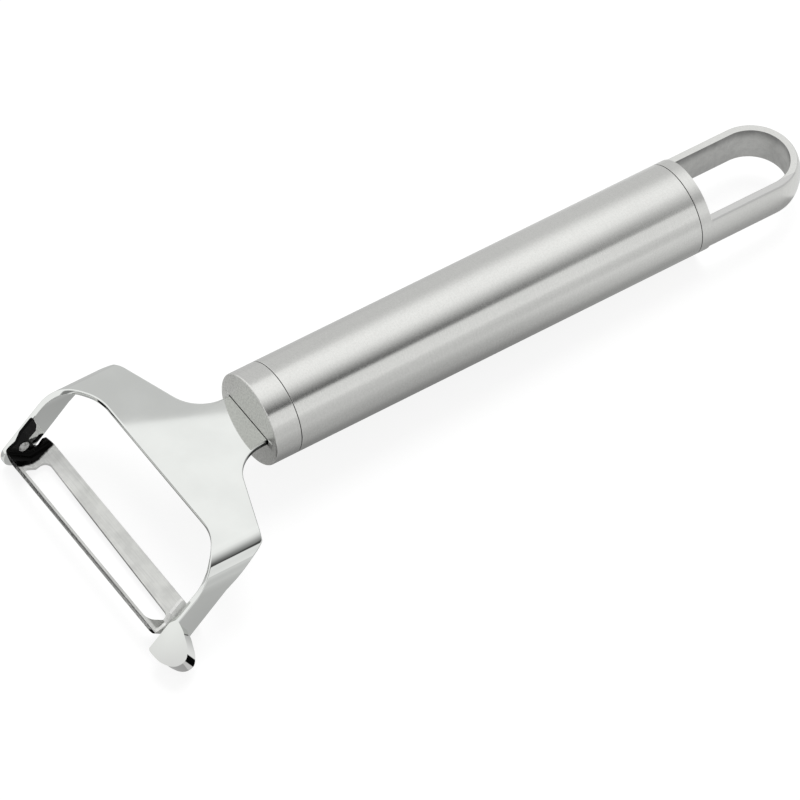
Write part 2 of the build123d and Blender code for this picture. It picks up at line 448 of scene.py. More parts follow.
@dataclass(frozen=True)
class PolishedSteel(Finish):
    """Mirror-polished steel with faint waves and wipe marks; painted shade blackens the cut edge beside the
    plug and the neck's right-hand root at the plug.
    """

    name: str = "mirror_polished_steel"
    colour: Corner = (0.855, 0.873, 0.85)
    dull_colour: Corner = (0.815, 0.832, 0.81)
    roughness: float = 0.018
    roughness_spread: float = 0.03
    wave_scale: float = 35.0
    wave_depth: float = 0.006
    wave_strength: float = 0.3
    wipe_scales: Corner = (2200.0, 60.0, 2200.0)
    wipe_share: float = 0.4
    wipe_height: float = 0.01
    cloud_scale: float = 120.0
    cloud_range: Point = (0.3, 0.7)
    # Painted shade on the cut edge beside the plug and on the neck's root.
    corner_from: float = 57.8
    corner_to: float = 56.6
    cut_edge_z: Point = (0.3, 0.55)
    cut_edge_shade_black: float = 0.85
    root_from: float = 53.0
    root_to: float = 52.2
    root_x: float = 6.3

    def vary(self, bench: Bench) -> Surface:
        """Wire up the waves, the wipe marks and the painted light and shade that mark adds.

        Args:
            bench: The material's bench.

        Returns:
            What the shader is fed with.
        """
        waves = bench.grain(self.wave_scale, detail=1.0)
        wipes = bench.grain(self.wipe_scales, detail=3.0)
        clouds = bench.grain(self.cloud_scale, detail=5.0)
        tint = bench.blend(clouds.eased(*self.cloud_range), self.dull_colour, self.colour)
        tint, black, painted_glow = self.mark(bench, tint)
        wear = clouds * (1.0 - self.wipe_share) + wipes * self.wipe_share
        return Surface(
            tint,
            wear * self.roughness_spread + self.roughness,
            waves + wipes * self.wipe_height,
            self.wave_depth,
            bump_strength=self.wave_strength,
            black=black,
            painted_glow=painted_glow,
        )

    def mark(self, bench: Bench, tint: bpy.types.NodeSocket) -> Marks:
        """Paint black shade on the cut edge beside the plug and on the neck's right-hand root at the plug.

        Args:
            bench: The material's bench.
            tint: The colour so far.

        Returns:
            The colour, how black the surface is and the light that it adds.
        """
        x, y, z = bench.axes()
        beside_plug = y.eased(-self.corner_from * MM, -self.corner_to * MM)
        core, rim = self.cut_edge_z
        cut_edge = 1.0 - abs(z).eased(core * MM, rim * MM)
        root = y.eased(-self.root_from * MM, -self.root_to * MM) * (x > self.root_x * MM)
        # Both marks are painted shade.
        return tint, (beside_plug * cut_edge * self.cut_edge_shade_black).over(root), None


@dataclass(frozen=True)
class LugSteel(PolishedSteel):
    """The eye remover's polish with painted light: painted shade on its face, and on its side a painted
    glow above, a painted dark reflection in a stripe and a painted grey reflection below.
    """

    name: str = "polished_lug_steel"
    colour: Corner = (0.822, 0.843, 0.812)
    dull_colour: Corner = (0.782, 0.802, 0.772)
    apex_y: float = -85.6
    apex_z: float = -8.95
    angle: float = 31.5
    side_depth: Point = (0.14, 0.3)
    stripe_from: float = 2.55
    stripe_to: float = 3.7
    stripe_edge: float = 0.06
    # Grey for the painted shade on the face and the painted reflection below the stripe.
    shade_and_reflection_grey: Corner = (0.62, 0.62, 0.61)
    low_lead: float = 0.4
    face_fall_x: Point = (27.0, 37.0)
    face_fall_down: Point = (0.0, 8.0)
    fall_share_x: float = 0.55
    # Painted glow on the side above the stripe.
    painted_glow_to: float = 2.2
    painted_glow_fade: float = 0.1
    painted_glow_colour: Corner = (0.30, 0.30, 0.30)

    def mark(self, bench: Bench, tint: bpy.types.NodeSocket) -> Marks:
        """Paint shade on the lug's face, and paint reflections and a glow on its side below its round rim.

        Args:
            bench: The material's bench.
            tint: The colour so far.

        Returns:
            The colour, how black the surface is and the light that it adds.
        """
        x, y, z = bench.axes()
        cosine, sine = cos(radians(self.angle)), sin(radians(self.angle))
        down = (self.apex_y * MM - y) * cosine + (self.apex_z * MM - z) * sine
        depth = (y - self.apex_y * MM) * sine - (z - self.apex_z * MM) * cosine
        rim, flank = self.side_depth
        side = depth.eased(rim * MM, flank * MM)
        # Painted shade: the face darkens outwards and downwards.
        across_from, across_to = self.face_fall_x
        down_from, down_to = self.face_fall_down
        face_shade = x.eased(across_from * MM, across_to * MM) * self.fall_share_x
        face_shade = face_shade + down.eased(down_from * MM, down_to * MM) * (1.0 - self.fall_share_x)
        tint = bench.blend((1.0 - side) * face_shade, tint, self.shade_and_reflection_grey)
        # Painted reflection: the side turns grey below the stripe.
        low = down.eased((self.stripe_from + self.low_lead) * MM, self.stripe_to * MM)
        tint = bench.blend(side * low, tint, self.shade_and_reflection_grey)
        # Painted dark reflection: a black stripe runs across the side.
        edge = self.stripe_edge
        stripe = down.eased((self.stripe_from - edge) * MM, (self.stripe_from + edge) * MM)
        stripe = stripe * (1.0 - down.eased((self.stripe_to - edge) * MM, (self.stripe_to + edge) * MM))
        # Painted glow on the side above the stripe.
        upper = side * down.eased(0.0, self.painted_glow_to * MM) * (1.0 - stripe)
        upper = upper * (1.0 - down.eased((self.stripe_to - self.painted_glow_fade) * MM, self.stripe_to * MM))
        return tint, side * stripe, bench.blend(upper, UNLIT, self.painted_glow_colour)


@dataclass(frozen=True)
class BladeSteel(Finish):
    """Stamped blade steel: the bars are ground matt, the left ear is glossy with a painted dark reflection,
    both ends have a painted glow.
    """

    name: str = "ground_blade_steel"
    colour: Corner = (0.81, 0.815, 0.79)
    dull_colour: Corner = (0.64, 0.644, 0.625)
    # Painted dark reflection on the left ear.
    ear_dark_reflection_colour: Corner = (0.006, 0.006, 0.006)
    roughness: float = 0.26
    roughness_spread: float = 0.16
    ear_roughness: float = 0.14
    ear_rear_x: float = 24.5
    ear_rear_y: float = 80.0
    ear_skew: float = 0.28
    ear_blend: float = 0.5
    ear_ragged: float = 0.8
    speck_scale: float = 700.0
    matt_from_y: float = 87.6
    matt_to_y: float = 88.2
    matt_from_x: float = 23.2
    matt_to_x: float = 24.4
    left_from_x: float = 11.0
    left_to_x: float = 19.0
    matt_metallic: float = 0.3
    # Painted glow on both ends.
    end_glow: Corner = (0.12, 0.12, 0.12)
    grind_scales: Corner = (120.0, 5000.0, 5000.0)
    grind_share: float = 0.35
    mottle_scale: float = 300.0
    wear_range: Point = (0.3, 0.65)
    bump_depth: float = 0.0014

    def vary(self, bench: Bench) -> Surface:
        """Wire up the grinding, the ear's painted dark reflection, the matt cutting bar and both ends,
        which are matt with a painted glow.

        Args:
            bench: The material's bench.

        Returns:
            What the shader is fed with.
        """
        x, y, _ = bench.axes()
        grind = bench.grain(self.grind_scales, detail=3.0)
        mottle = bench.grain(self.mottle_scale, detail=5.0)
        wear = grind * self.grind_share + mottle * (1.0 - self.grind_share)
        border = x + (self.ear_rear_x + self.ear_skew * self.ear_rear_y) * MM + y * self.ear_skew
        specks = bench.grain(self.speck_scale, detail=4.0)
        ragged = (specks - 0.5) * (self.ear_ragged * MM)
        ear = (ragged - border).eased(0.0, self.ear_blend * MM)
        tint = bench.blend(wear.eased(*self.wear_range), self.dull_colour, self.colour)
        # Painted dark reflection: the left ear is coloured near black.
        tint = bench.blend(ear, tint, self.ear_dark_reflection_colour)
        front = (0.0 - y).eased(self.matt_from_y * MM, self.matt_to_y * MM)
        ends = x.eased(self.matt_from_x * MM, self.matt_to_x * MM)
        ends = ends.over((0.0 - x).eased(self.left_from_x * MM, self.left_to_x * MM))
        matt = front.over(ends) * (1.0 - ear)
        ground = wear * self.roughness_spread + self.roughness
        roughness = ground + ear * (self.ear_roughness - self.roughness - self.roughness_spread / 2)
        metallic = 1.0 - matt * (1.0 - self.matt_metallic)
        # Painted glow: both ends give a little light.
        glow = bench.blend(ends * (1.0 - front) * (1.0 - ear), UNLIT, self.end_glow)
        return Surface(tint, roughness, wear, self.bump_depth, metallic, painted_glow=glow)


@dataclass(frozen=True)
class PeenedSteel(Finish):
    """Hammered rivet heads, dull and pitted."""

    name: str = "peened_steel"
    colour: Corner = (0.97, 0.97, 0.96)
    dull_colour: Corner = (0.45, 0.45, 0.44)
    roughness: float = 0.3
    roughness_spread: float = 0.2
    metallic: float = 0.1
    pit_scale: float = 1500.0
    pit_range: Point = (0.38, 0.62)
    pit_depth: float = 0.12
    pit_strength: float = 0.8

    def vary(self, bench: Bench) -> Surface:
        """Wire up the pits.

        Args:
            bench: The material's bench.

        Returns:
            What the shader is fed with.
        """
        pits = bench.grain(self.pit_scale, detail=4.0)
        tint = bench.blend(pits.eased(*self.pit_range), self.dull_colour, self.colour)
        roughness = pits * self.roughness_spread + self.roughness
        return Surface(tint, roughness, pits, self.pit_depth, self.metallic, self.pit_strength)


def arc(centre: Point, radius: float, start: float, end: float, steps: int) -> list[Point]:
    """Points along an arc.

    Args:
        centre: Its centre.
        radius: Its radius.
        start: The angle that it starts at, in degrees.
        end: The angle that it ends at, in degrees.
        steps: How many runs it has.

    Returns:
        The points from start to end.
    """
    turns = [radians(start + (end - start) * step / steps) for step in range(steps + 1)]
    return [(centre[0] + radius * cos(turn), centre[1] + radius * sin(turn)) for turn in turns]


def rounded_outline(corners: tuple[Corner, ...], steps: int = 14) -> list[Point]:
    """A closed outline with round corners.

    Args:
        corners: Each corner's place and the radius of its round.
        steps: How many runs each round has.

    Returns:
        The outline's points.
    """
    outline = []
    for number, (x, y, radius) in enumerate(corners):
        corner = Vector((x, y))
        if radius == 0:
            outline.append((x, y))
            continue
        before = (Vector(corners[number - 1][:2]) - corner).normalized()
        after = (Vector(corners[(number + 1) % len(corners)][:2]) - corner).normalized()
        half = before.angle(after) / 2
        centre = corner + (before + after).normalized() * (radius / sin(half))
        start = corner + before * (radius / tan(half)) - centre
        swing = copysign(pi - 2 * half, before.cross(after)) * -1
        first = atan2(start.y, start.x)
        outline += arc(tuple(centre), radius, first * 180 / pi, (first + swing) * 180 / pi, steps)
    return outline


def span_at(outline: list[Point], value: float, along: int) -> Point:
    """How far an outline reaches on one line.

    Args:
        outline: The closed outline.
        value: The coordinate of the line.
        along: Which coordinate that is, 0 or 1.

    Returns:
        The other coordinate's least and greatest value there.
    """
    hits = []
    for a, b in zip(outline, outline[1:] + outline[:1]):
        low, high = sorted((a[along], b[along]))
        if low <= value <= high and low < high:
            share = (value - a[along]) / (b[along] - a[along])
            hits.append(a[1 - along] + share * (b[1 - along] - a[1 - along]))
    return min(hits), max(hits)


def smooth_run(points: list[Point], steps: int) -> list[Point]:
    """A smooth curve through points.

    Args:
        points: The points that it passes.
        steps: How many runs lie between two of them.

    Returns:
        The curve's points.
    """
    ends = [points[0]] + points + [points[-1]]
    run = []
    for a, b, c, d in zip(ends, ends[1:], ends[2:], ends[3:]):
        for step in range(steps):
            t = step / steps
            weights = (
                (-t + 2 * t**2 - t**3) / 2,
                (2 - 5 * t**2 + 3 * t**3) / 2,
                (t + 4 * t**2 - 3 * t**3) / 2,
                (t**3 - t**2) / 2,
            )
            run.append(tuple(sum(w * p[axis] for w, p in zip(weights, (a, b, c, d))) for axis in (0, 1)))
    return run + [points[-1]]


def object_of(mesh: bpy.types.Mesh, smooth_angle: float) -> bpy.types.Object:
    """Put a mesh in the scene.

    Args:
        mesh: The mesh.
        smooth_angle: Edges sharper than this many degrees stay sharp.

    Returns:
        Its object.
    """
    mesh.polygons.foreach_set("use_smooth", [True] * len(mesh.polygons))
    mesh.set_sharp_from_angle(angle=radians(smooth_angle))
    piece = bpy.data.objects.new(mesh.name, mesh)
    bpy.context.scene.collection.objects.link(piece)
    return piece


class Draft:
    """A mesh being drawn up from rings of points in millimetres."""

    def __init__(self, name: str) -> None:
        """Start an empty mesh.

        Args:
            name: The piece's name.
        """
        self.name = name
        self.points: list[Vector] = []
        self.faces: list[tuple[int, ...]] = []

    def ring(self, points: list) -> list[int]:
        """Add a row of points.

        Args:
            points: Their places.

        Returns:
            Their numbers.
        """
        start = len(self.points)
        self.points += [Vector(point) for point in points]
        return list(range(start, len(self.points)))

    def skin(self, first: list[int], second: list[int], closed: bool = True) -> None:
        """Join two rings of equal length with four-sided faces.

        Args:
            first: The first ring's point numbers.
            second: The second ring's.
            closed: Whether the last point joins the first.
        """
        count = len(first)
        for number in range(count if closed else count - 1):
            after = (number + 1) % count
            self.faces.append((first[number], first[after], second[after], second[number]))

    def cover(self, ring: list[int]) -> None:
        """Close a ring with one flat face."""
        self.faces.append(tuple(ring))

    def turn(self, profile: list[Point], steps: int, closed: bool = False) -> None:
        """Turn a profile about the handle's axis.

        Args:
            profile: Its points as y and radius.
            steps: How many facets go round.
            closed: Whether the profile closes on itself; otherwise both ends get a flat face.
        """
        spin = [2 * pi * step / steps for step in range(steps)]
        rings = [self.ring([(r * sin(a), y, r * cos(a)) for a in spin]) for y, r in profile]
        for first, second in zip(rings, rings[1:] + rings[:1] if closed else rings[1:]):
            self.skin(first, second)
        if not closed:
            self.cover(rings[0])
            self.cover(rings[-1])

    def piece(self, smooth_angle: float = SHARP, weld: bool = False) -> bpy.types.Object:
        """Make the object in metres.

        Args:
            smooth_angle: Edges sharper than this many degrees stay sharp.
            weld: Whether points at one place become one.

        Returns:
            The object.
        """
        mesh = bpy.data.meshes.new(self.name)
        mesh.from_pydata([point * MM for point in self.points], [], self.faces)
        mesh.update()
        if weld:
            drawing = bmesh.new()
            drawing.from_mesh(mesh)
            bmesh.ops.remove_doubles(drawing, verts=drawing.verts, dist=WELD * MM)
            drawing.to_mesh(mesh)
            drawing.free()
        return object_of(mesh, smooth_angle)


def sweep(first: float, last: float, steps: int) -> list[float]:
    """Angles in radians that go evenly from one in degrees to another."""
    return [radians(first + (last - first) * step / steps) for step in range(steps + 1)]


def soften(piece: bpy.types.Object, width: float, segments: int = 3, angle: float = 40.0) -> None:
    """Round a piece's sharp edges.

    Args:
        piece: The piece.
        width: The round's width in millimetres.
        segments: How many runs the round has.
        angle: Edges sharper than this many degrees are rounded.
    """
    bevel = piece.modifiers.new("edge_round", "BEVEL")
    bevel.width = width * MM
    bevel.segments = segments
    bevel.limit_method = "ANGLE"
    bevel.angle_limit = radians(angle)
    bevel.use_clamp_overlap = False
    bevel.harden_normals = True


def weigh_normals(piece: bpy.types.Object) -> None:
    """Let a piece's broad faces keep their flat look beside its rounds.

    Args:
        piece: The piece.
    """
    weigh = piece.modifiers.new("broad_faces_first", "WEIGHTED_NORMAL")
    weigh.weight = 80
    weigh.keep_sharp = True


def settle(piece: bpy.types.Object) -> None:
    """Apply a piece's modifiers to its mesh.

    Args:
        piece: The piece.
    """
    depsgraph = bpy.context.evaluated_depsgraph_get()
    mesh = bpy.data.meshes.new_from_object(piece.evaluated_get(depsgraph))
    piece.modifiers.clear()
    piece.data = mesh


def dress(
    piece: bpy.types.Object, material: bpy.types.Material, body: Body, slot: Slot, *nodes: str
) -> None:
    """Give a piece its finish and body, and hide the CAD nodes that it stands for.

    Args:
        piece: The piece.
        material: Its finish.
        body: The body that it rides on.
        slot: The record's slot that the finish is of; not used.
        *nodes: The CAD nodes that it stands for.
    """
    piece.data.materials.append(material)
    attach(piece, body.value)
    if nodes:
        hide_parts(*nodes)
    log.info("%s: %d faces, rides on %s", piece.name, len(piece.data.polygons), body.value)


def softened_copy(node: str, name: str, width: float) -> bpy.types.Object:
    """A new piece with a CAD node's shape, its flat sides made whole and its edges rounded.

    Args:
        node: The CAD node.
        name: The new piece's name.
        width: The rounds' width in millimetres.

    Returns:
        The piece.
    """
    drawing = bmesh.new()
    drawing.from_mesh(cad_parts[node].data)
    bmesh.ops.remove_doubles(drawing, verts=drawing.verts, dist=WELD * MM)
    bmesh.ops.dissolve_limit(drawing, angle_limit=radians(FLAT), verts=drawing.verts, edges=drawing.edges)
    mesh = bpy.data.meshes.new(name)
    drawing.to_mesh(mesh)
    drawing.free()
    piece = object_of(mesh, SHARP)
    soften(piece, width, angle=SHARP)
    return piece


def refinish(node: str, material: bpy.types.Material) -> None:
    """Give a CAD node that stays its material.

    Args:
        node: The CAD node.
        material: Its finish.
    """
    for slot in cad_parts[node].material_slots:
        slot.material = material
    log.info("%s: kept from the model", node)


@dataclass
class Handle:
    """Round tube handle with a front plug and a rear cap that ends in a hanging loop."""

    satin: bpy.types.Material
    radius: float = 9.5
    tube_length: float = 92.2
    tube_wall: float = 1.0
    joint_gap: float = 0.1
    joint_depth: float = 0.5
    ring_round: float = 0.04
    rim_hold: float = 0.06
    plug_length: float = 5.8
    plug_face_round: float = 0.45
    plug_depth: float = 15.0
    slot_width: float = 13.26
    slot_height: float = 1.28
    slot_depth: float = 14.0
    ring_length: float = 2.4
    cap_depth: float = 12.0
    loop_half: float = 3.8
    loop_reach: float = 15.9
    eye_radius: float = 7.25
    loop_round: float = 0.12
    loop_corner_share: float = 0.35
    loop_overlap: float = 0.3
    rim_steps: int = 4
    nose_steps: int = 8
    edge_steps: int = 5
    eye_steps: int = 6
    flank_steps: int = 8
    bend_steps: int = 48
    straight_steps: int = 8
    tube_step: float = 4.0
    facets: int = 160

    @property
    def front_y(self) -> float:
        """The tube's front end."""
        return -self.tube_length / 2

    @property
    def rear_y(self) -> float:
        """The tube's rear end."""
        return self.tube_length / 2

    def rim(self, y: float, side: int, size: float = 0.12) -> list[Point]:
        """The section of an outer rim, with a point that holds the tube flat behind it.

        Args:
            y: Where the rim is.
            side: Which way its end faces, -1 to the front and 1 to the rear.
            size: The radius of its round.

        Returns:
            The points from the end to the tube's side.
        """
        hold = (y - side * (size + self.rim_hold), self.radius)
        return [*arc((y - side * size, self.radius - size), size, 90 - 90 * side, 90, self.rim_steps), hold]

    def build_tube(self) -> None:
        """The tube, open at both ends, with softly broken rims."""
        inner = self.radius - self.tube_wall
        gap = self.joint_gap / 2
        front = self.rim(self.front_y + gap, -1)
        rear = self.rim(self.rear_y - gap, 1)[::-1]
        steps = ceil(self.tube_length / self.tube_step)
        start, length = front[-1][0], rear[0][0] - front[-1][0]
        middle = [(start + length * n / steps, self.radius) for n in range(1, steps)]
        draft = Draft("grip_tube")
        draft.turn([(front[0][0], inner), *front, *middle, *rear, (rear[-1][0], inner)], self.facets, True)
        dress(draft.piece(), self.satin, Body.HANDLE, Slot.SATIN, "handle_tube")

    def build_plug(self) -> None:
        """The front plug with its slot for the tang."""
        face_y = self.front_y - self.plug_length
        gap = self.joint_gap / 2
        waist = self.radius - self.joint_depth
        centre = (face_y + self.plug_face_round, self.radius - self.plug_face_round)
        nose = arc(centre, self.plug_face_round, 180, 90, self.nose_steps)
        inside = self.radius - self.tube_wall
        profile = [
            (face_y, self.radius / 2),
            *nose,
            (nose[-1][0] + self.rim_hold, self.radius),
            *self.rim(self.front_y - gap, 1)[::-1],
            (self.front_y - gap, waist),
            (self.front_y + self.plug_depth, inside - gap),
        ]
        draft = Draft("nose_plug")
        draft.turn(profile, self.facets)
        plug = draft.piece()
        cutter = self.slot_cutter(face_y)
        cut = plug.modifiers.new("tang_slot", "BOOLEAN")
        cut.operation = "DIFFERENCE"
        cut.solver = "EXACT"
        cut.object = cutter
        settle(plug)
        bpy.data.objects.remove(cutter)
        dress(plug, self.satin, Body.HANDLE, Slot.SATIN, "front_plug")

    def slot_cutter(self, face_y: float) -> bpy.types.Object:
        """The block that cuts the tang's slot.

        Args:
            face_y: The plug's face, which the block stands 1 mm proud of.

        Returns:
            The block.
        """
        x, z = self.slot_width / 2, self.slot_height / 2
        corners = ((-x, -z), (x, -z), (x, z), (-x, z))
        draft = Draft("slot_cutter")
        near, far = (
            draft.ring([(across, y, up) for across, up in corners])
            for y in (face_y - 1, face_y + self.slot_depth)
        )
        draft.skin(near, far)
        draft.cover(near)
        draft.cover(far)
        return draft.piece()

    def build_cap(self) -> None:
        """The cap's ring with the loop that grows out of it."""
        gap = self.joint_gap / 2
        ring_end = self.rear_y + self.ring_length
        inside = self.radius - self.tube_wall
        draft = Draft("loop_cap")
        draft.turn(
            [
                (self.rear_y - self.cap_depth, inside - gap),
                (self.rear_y + gap, self.radius - self.joint_depth),
                *self.rim(self.rear_y + gap, -1),
                *self.rim(ring_end, 1, self.ring_round)[::-1],
                (ring_end, self.radius / 2),
            ],
            self.facets,
        )
        self.add_loop(draft, ring_end)
        dress(draft.piece(), self.satin, Body.HANDLE, Slot.SATIN, "rear_loop_cap")

    def loop_section(self) -> list[Point]:
        """Section of one strand of the loop.

        Returns:
            Its points as distance out from the loop's middle and height.
        """
        flank = self.radius
        edge = self.loop_round
        top = self.loop_half
        shoulder = (flank**2 - top**2) ** 0.5
        lean = atan2(top, shoulder) * 180 / pi
        outer_centre = (flank - edge) * cos(radians(lean))
        corner = (outer_centre - edge * self.loop_corner_share, top - edge)
        hold = self.rim_hold
        half = [(self.eye_radius, top * step / self.eye_steps) for step in range(self.eye_steps)]
        half.append((self.eye_radius, top - edge - hold))
        half += arc((self.eye_radius + edge, top - edge), edge, 180, 90, self.edge_steps)
        half += [(self.eye_radius + edge + hold, top), (corner[0] - hold, top)]
        half += arc(corner, edge, 90, lean, self.edge_steps)
        low = atan2(half[-1][1], half[-1][0])
        turns = [low * step / self.flank_steps for step in range(self.flank_steps - 1, -1, -1)]
        half += [(flank * cos(turn), flank * sin(turn)) for turn in turns]
        return half + [(x, -z) for x, z in half[-2:0:-1]]

    def add_loop(self, draft: Draft, root_y: float) -> None:
        """Sweep the strand's section along one side, round the ball end and back.

        Args:
            draft: The cap's mesh.
            root_y: Where the strands leave the ring.
        """
        section = self.loop_section()
        bend_y = root_y + self.loop_reach
        start_y = root_y - self.loop_overlap
        sides = [start_y + (bend_y - start_y) * n / self.straight_steps for n in range(self.straight_steps)]
        turns = [pi * n / self.bend_steps for n in range(self.bend_steps + 1)]
        rings = [draft.ring([(x, y, z) for x, z in section]) for y in sides]
        rings += [draft.ring([(x * cos(a), bend_y + x * sin(a), z) for x, z in section]) for a in turns]
        rings += [draft.ring([(-x, y, z) for x, z in section]) for y in sides[::-1]]
        for first, second in zip(rings, rings[1:]):
            draft.skin(second, first)

    def build(self) -> None:
        """Build and dress every piece of the handle."""
        self.build_tube()
        self.build_plug()
        self.build_cap()
        refinish("tang_pin", self.satin)


@dataclass
class Head:
    """The bent head sheet with its two arms, the eye remover and the rivets."""

    polished: bpy.types.Material
    lug_polish: bpy.types.Material
    peened: bpy.types.Material
    sheet_sharp: float = 60.0
    rivet_sharp: float = 50.0
    edge_steps: int = 4
    corner_steps: int = 8
    least_drop: float = 0.05
    thickness: float = 1.2
    half_width: float = 27.7
    bend_radius: float = 5.4
    neck_half: float = 6.6
    neck_fillet: float = 8.2
    plug_face_y: float = -51.9
    tang_end_y: float = -36.0
    plate_depth: float = 20.9
    shoulder_depth: float = 7.0
    shoulder_angle: float = 19.7
    turn_inset: float = 7.3
    turn_radius: float = 9.0
    turn_angle: float = 35.4
    blend_from: float = 23.0
    blend_to: float = 27.2
    rear_corner: tuple[Point, ...] = (
        (25.3, -65.5),
        (25.8, -66.0),
        (26.6, -67.5),
        (27.4, -69.2),
        (28.9, -71.8),
        (30.2, -73.35),
        (31.5, -74.6),
    )
    arm_width: float = 6.4
    tip_reach: float = 34.5
    tip_drop: float = 14.3
    tip_round: float = 3.0
    front_angle: float = 45.2
    rear_angle: float = 46.6
    tip_flat: float = 0.06
    edge_round: float = 0.22
    support: float = 0.06
    rows: int = 8
    column_step: float = 0.4
    least_step: float = 0.07
    neck_clear: float = 0.36
    lug_angle: float = 31.5
    lug_apex_setback: float = 4.36
    lug_thickness: float = 4.2
    lug_length: float = 7.3
    lug_width: float = 8.0
    lug_round: float = 0.28
    lug_steps: int = 4
    lug_outline_steps: int = 6
    lug_gap: float = 0.02
    lug_outline_shares: tuple[Point, ...] = (
        (0.36, 0.07),
        (0.58, 0.16),
        (0.79, 0.26),
        (0.95, 0.40),
        (1.00, 0.51),
        (0.99, 0.64),
        (0.94, 0.75),
        (0.84, 0.85),
        (0.69, 0.93),
        (0.51, 0.985),
        (0.21, 1.00),
    )
    lug_foot_shares: Point = (0.14, 0.97)
    pivot_setback: float = 0.7
    pivot_rise: float = 2.5
    rivet_facets: int = 48
    lump: float = 0.035
    lump_reach: float = 0.45
    left_rivet: tuple[Point, ...] = (
        (-25.15, 0.25),
        (-25.17, 0.60),
        (-25.24, 0.90),
        (-25.36, 1.09),
        (-25.48, 1.15),
        (-25.55, 1.13),
        (-25.55, 0.80),
        (-27.70, 0.80),
        (-27.70, 1.13),
        (-27.80, 1.15),
        (-27.94, 1.06),
        (-28.06, 0.80),
        (-28.10, 0.30),
    )
    right_rivet: tuple[Point, ...] = (
        (25.15, 0.25),
        (25.17, 0.60),
        (25.24, 0.90),
        (25.36, 1.09),
        (25.48, 1.15),
        (25.55, 1.13),
        (25.55, 0.80),
        (29.50, 0.80),
    )

    @property
    def inner_x(self) -> float:
        """The arms' inner sides."""
        return self.half_width - self.thickness

    @property
    def tip_y(self) -> float:
        """The centre of the arms' tips."""
        return self.plug_face_y - self.tip_reach

    def plate_outline(self) -> list[Point]:
        """Right half of the sheet seen from above.

        Returns:
            Its outline as x and y.
        """
        side_x = self.half_width + 1
        shoulder_y = self.plug_face_y - self.shoulder_depth
        side_y = shoulder_y - (side_x - self.neck_half) * tan(radians(self.shoulder_angle))
        front_y = self.plug_face_y - self.plate_depth
        turn_x = self.inner_x - self.turn_inset
        far_y = front_y - (side_x - turn_x) * tan(radians(self.turn_angle))
        return rounded_outline(
            (
                (-1, self.tang_end_y, 0),
                (self.neck_half, self.tang_end_y, 0),
                (self.neck_half, shoulder_y, self.neck_fillet),
                (side_x, side_y, 0),
                (side_x, far_y, 0),
                (turn_x, front_y, self.turn_radius),
                (-1, front_y, 0),
            )
        )

    def arm_outline(self) -> list[Point]:
        """The sheet seen from the side.

        Returns:
            Its outline as y and z.
        """
        front, rear = radians(self.front_angle), radians(self.rear_angle)
        half = self.arm_width / 2
        top_z = self.thickness
        nose_y = self.tip_y - half * cos(front)
        nose_z = -self.tip_drop - half * sin(front)
        front_y, front_z = nose_y - half * sin(front), nose_z + half * cos(front)
        rear_y, rear_z = nose_y + half * sin(rear), nose_z - half * cos(rear)
        return rounded_outline(
            (
                (front_y + (top_z - front_z) / tan(front), top_z, 0),
                (front_y, front_z, self.tip_round),
                (rear_y, rear_z, self.tip_round),
                (rear_y + (top_z - rear_z) / tan(rear), top_z, 0),
            )
        )

    def fold(self, run: float) -> Point:
        """Follow the sheet over its bend.

        Args:
            run: The run along the sheet from its centre line.

        Returns:
            The place of the sheet's middle there, as x and z.
        """
        flat = self.half_width - self.bend_radius
        middle = self.bend_radius - self.thickness / 2
        if run <= flat:
            return run, 0.0
        turn = (run - flat) / middle
        if turn <= pi / 2:
            return flat + middle * sin(turn), -middle * (1 - cos(turn))
        return flat + middle, -middle - (run - flat - middle * pi / 2)

    def unfold(self, z: float) -> float:
        """Find how far along the sheet a height lies.

        Args:
            z: The height of the sheet's middle.

        Returns:
            The run along the sheet at which its middle has sunk to it.
        """
        flat = self.half_width - self.bend_radius
        middle = self.bend_radius - self.thickness / 2
        if z >= -middle:
            return flat + middle * atan2((1 - (1 + z / middle) ** 2) ** 0.5, 1 + z / middle)
        return flat + middle * pi / 2 - z - middle

    def columns(self) -> list[tuple[float, float, float]]:
        """Cut the right half of the sheet into columns.

        Returns:
            Each column's run along the sheet, its front end and its rear end.
        """
        plate, arm = self.plate_outline(), self.arm_outline()
        lowest = min(z for _, z in arm)
        last = self.unfold(lowest + self.tip_flat)
        flat = self.half_width - self.bend_radius
        neck_y = min(y for x, y in plate if abs(x - self.neck_half) < WELD)
        runs = {self.column_step * n for n in range(ceil(last / self.column_step))}
        runs |= {x for x, _ in plate if 0 <= x <= flat} | {flat, last, self.neck_half}
        runs |= {self.unfold(z) for _, z in arm if lowest + self.tip_flat < z < -self.least_drop}
        corner = smooth_run(list(self.rear_corner), self.corner_steps)
        runs |= {run for run, _ in corner}
        runs = {run for run in runs if not self.neck_half - self.neck_clear < run < self.neck_half}
        kept: list[float] = []
        for run in sorted(runs):
            must = run in (self.neck_half, last, flat)
            if kept and must and run - kept[-1] <= self.least_step:
                kept.pop()
            if run <= last and (not kept or run - kept[-1] > self.least_step or must):
                kept.append(run)
        columns = []
        for run in kept:
            x, z = self.fold(run)
            plate_front, rear = span_at(plate, x, 0)
            arm_front, arm_rear = span_at(arm, z, 1)
            share = min(max((run - self.blend_from) / (self.blend_to - self.blend_from), 0.0), 1.0)
            share = share * share * (3 - 2 * share)
            front = plate_front + (arm_front - plate_front) * share
            if run > corner[-1][0]:
                rear = arm_rear
            elif run > corner[0][0]:
                # The edge runs midway between the corner's curve and its chord.
                rear = sum(span_at(corner, run, 0)) / 2
            if run <= self.neck_half:
                rear = self.tang_end_y
            columns.append((run, front, rear))
            if run == self.neck_half:
                columns.append((run, front, neck_y))
        return columns

